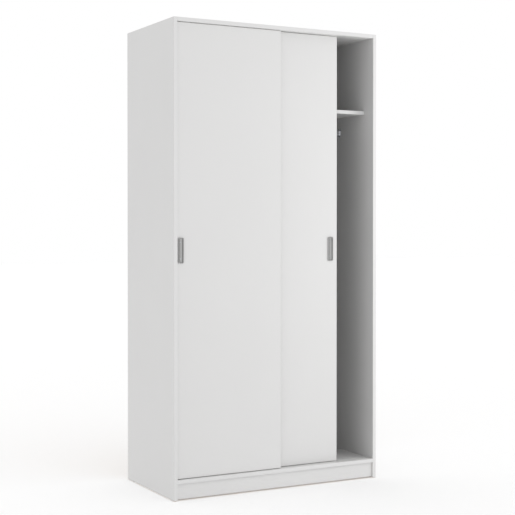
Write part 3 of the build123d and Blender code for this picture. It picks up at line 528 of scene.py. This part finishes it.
rubber = new_finish("clear_rubber", RUBBER_HIGH, 0.22)
rubber_shader = rubber.node_tree.nodes["Principled BSDF"]
rubber_shader.inputs["Transmission Weight"].default_value = 0.55
rubber_shader.inputs["IOR"].default_value = 1.45
tint(rubber, clouds(rubber, (90, 90, 90)), RUBBER_LOW, RUBBER_HIGH)
dull(rubber, clouds(rubber, (400, 400, 400)), 0.18, 0.28)
dress(rubber, "front_door_bumpers", "rear_door_bumpers")

# ---- pulls ----------------------------------------------------------------------------------
# A pull is a zinc casting that stands a little off the door, with an upright half-round hollow
# for the fingertips. It is brushed lengthways, nickel plated to a satin grey, and held by two
# screws through the bottom of the hollow.
NICKEL_LOW = (0.445, 0.445, 0.442)
NICKEL_HIGH = (0.49, 0.49, 0.487)

nickel = new_finish("satin_nickel", NICKEL_HIGH, 0.33, metallic=1)
tint(nickel, clouds(nickel, (900, 900, 14)), NICKEL_LOW, NICKEL_HIGH)
dull(nickel, clouds(nickel, (1600, 1600, 18)), 0.28, 0.4)
emboss(nickel, clouds(nickel, (2200, 2200, 20)), 0.000012)
dress(nickel, "front_door_handle", "rear_door_handle")
dress(plated_steel, "front_door_handle_screws", "rear_door_handle_screws")

# ---- rollers and guides ---------------------------------------------------------------------
# The housings are moulded grey plastic, screwed into the mortises. The wheels and the sprung
# tongues that run in the track are natural nylon, and the wheels turn on steel pins.
NYLON_LOW = (0.71, 0.69, 0.63)
NYLON_HIGH = (0.76, 0.745, 0.69)
housing_grey = moulded("housing_moulding", GREY_LOW, GREY_HIGH, 0.4)
nylon = moulded("natural_nylon", NYLON_LOW, NYLON_HIGH, 0.36)
nylon_shader = nylon.node_tree.nodes["Principled BSDF"]
nylon_shader.inputs["Subsurface Weight"].default_value = 0.2
nylon_shader.inputs["Subsurface Scale"].default_value = 0.002
for door in ("front_door", "rear_door"):
    for end in ("left", "right"):
        dress(housing_grey, f"{door}_roller_housing_{end}", f"{door}_guide_housing_{end}")
        dress(nylon, f"{door}_wheel_{end}", f"{door}_guide_tongue_{end}")
        dress(plated_steel, f"{door}_axle_{end}")
    dress(plated_steel, f"{door}_fitting_screws")

# ---- studio ---------------------------------------------------------------------------------
# The wardrobe stands on a white paper floor in even light from a plain white room. One soft
# lamp at the front right makes the doors a little brighter towards that side. Lengths are
# metres, the camera's lens is millimetres and its angles are degrees.
FLOOR_SIZE = 60
FLOOR_WHITE = (0.97, 0.97, 0.97)
FLOOR_GLOW = 0.19
ROOM_SEEN = 1.0
ROOM_LIGHT = 0.84
LAMP_PLACE = Vector((1.45, -1.55, 1.35))
LAMP_AIM = Vector((0.2, -0.25, 1.1))
LAMP_SIZE = 1.2
LAMP_POWER = 12
CAMERA_PLACE = (-2.5375, -4.7230, 1.1405)
CAMERA_PITCH = 89.3
CAMERA_TURN = -28.5
CAMERA_LENS = 83.29
CAMERA_SHIFT = -0.0338

scene = bpy.context.scene
scene.view_settings.view_transform = "Standard"

bpy.ops.object.select_all(action="DESELECT")
bpy.ops.mesh.primitive_plane_add(size=FLOOR_SIZE, location=(0, 0, 0))
floor = bpy.context.object
floor.name = "studio_floor"
paper = new_finish("floor_paper", FLOOR_WHITE, 0.9)
emboss(paper, clouds(paper, (60, 60, 60)), 0.0001)
paper_shader = paper.node_tree.nodes["Principled BSDF"]
paper_shader.inputs["Emission Color"].default_value = (1, 1, 1, 1)
paper_shader.inputs["Emission Strength"].default_value = FLOOR_GLOW
floor.data.materials.append(paper)

room = bpy.data.worlds.new("white_room")
room.use_nodes = True
room_tree = room.node_tree
room_light = room_tree.nodes["Background"]
room_light.inputs["Color"].default_value = (1, 1, 1, 1)
room_light.inputs["Strength"].default_value = ROOM_LIGHT
room_seen = room_tree.nodes.new("ShaderNodeBackground")
room_seen.inputs["Color"].default_value = (1, 1, 1, 1)
room_seen.inputs["Strength"].default_value = ROOM_SEEN
ray_kind = room_tree.nodes.new("ShaderNodeLightPath")
either = room_tree.nodes.new("ShaderNodeMixShader")
room_tree.links.new(ray_kind.outputs["Is Camera Ray"], either.inputs["Fac"])
room_tree.links.new(room_light.outputs["Background"], either.inputs[1])
room_tree.links.new(room_seen.outputs["Background"], either.inputs[2])
room_tree.links.new(either.outputs["Shader"], room_tree.nodes["World Output"].inputs["Surface"])
scene.world = room

lamp_data = bpy.data.lights.new("soft_lamp", "AREA")
lamp_data.shape = "SQUARE"
lamp_data.size = LAMP_SIZE
lamp_data.energy = LAMP_POWER
lamp = bpy.data.objects.new("soft_lamp", lamp_data)
lamp.location = LAMP_PLACE
lamp.rotation_euler = (LAMP_AIM - LAMP_PLACE).to_track_quat("-Z", "Y").to_euler()
lamp.visible_camera = False
lamp.visible_glossy = False
scene.collection.objects.link(lamp)

# The lamp is flagged off the floor, so that the soft shadow round the foot stays.
flagged = bpy.data.collections.new("flagged_from_lamp")
flagged.objects.link(floor)
flagged.collection_objects[0].light_linking.link_state = "EXCLUDE"
lamp.light_linking.receiver_collection = flagged

camera_data = bpy.data.cameras.new("camera")
camera_data.lens = CAMERA_LENS
camera_data.shift_y = CAMERA_SHIFT
camera = bpy.data.objects.new("camera", camera_data)
camera.location = CAMERA_PLACE
camera.rotation_euler = (math.radians(CAMERA_PITCH), 0, math.radians(CAMERA_TURN))
scene.collection.objects.link(camera)
scene.camera = camera
